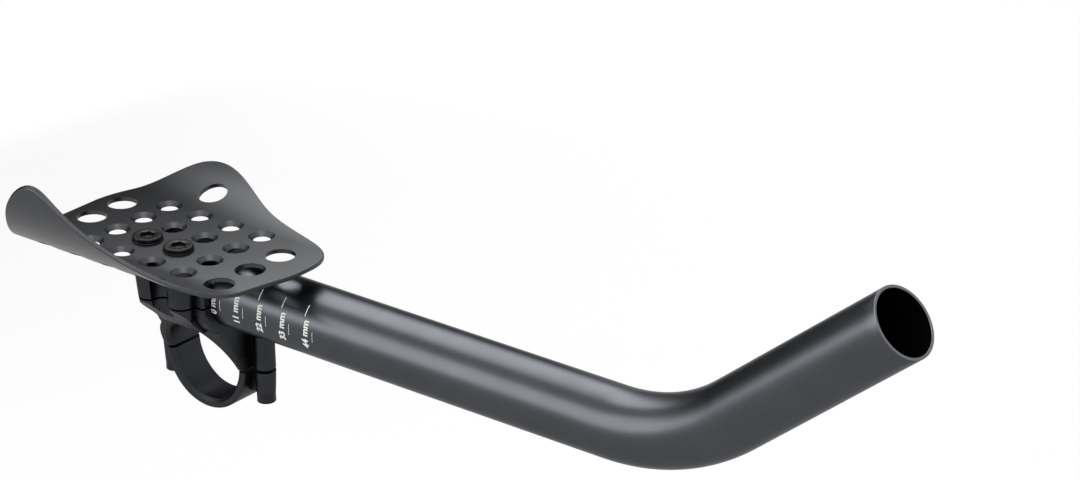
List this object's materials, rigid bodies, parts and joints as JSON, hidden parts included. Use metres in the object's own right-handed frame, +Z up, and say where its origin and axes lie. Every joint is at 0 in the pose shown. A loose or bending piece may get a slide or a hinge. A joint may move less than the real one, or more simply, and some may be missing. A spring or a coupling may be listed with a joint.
{
  "type": "aero handlebar extension",
  "caption": "Right-hand clip-on aero extension: bent tube that slides in a split clamp over a handlebar ring, with a perforated, winged sheet armrest above.",
  "frame": {"origin": "centre of the handlebar clamp's bore, half-way along the ring's width", "axes": "+X forward along the straight part of the tube, +Y along the handlebar towards the middle of the bicycle (the rider's left), +Z up"},
  "size_m": [0.3548, 0.1018, 0.1269],
  "materials": {
    "tube": "satin dark anodised",
    "clamp": "satin black anodised",
    "armrest": "satin dark anodised",
    "screws": "black oxide"
  },
  "bodies": {
    "clamp": {"clamp_body": "clamp", "clamp_cap": "clamp", "cap_bolt_front": "screws", "cap_bolt_rear": "screws", "armrest": "armrest", "armrest_bolt_front": "screws", "armrest_bolt_rear": "screws", "armrest_washer_front": "screws", "armrest_washer_rear": "screws"},
    "extension": {"extension_tube": "tube"}
  },
  "joints": [
    {"name": "extension_slide", "type": "slide", "parent": "clamp", "child": "extension", "axis": [1, 0, 0], "range_m": [-0.044, 0]}
  ]
}
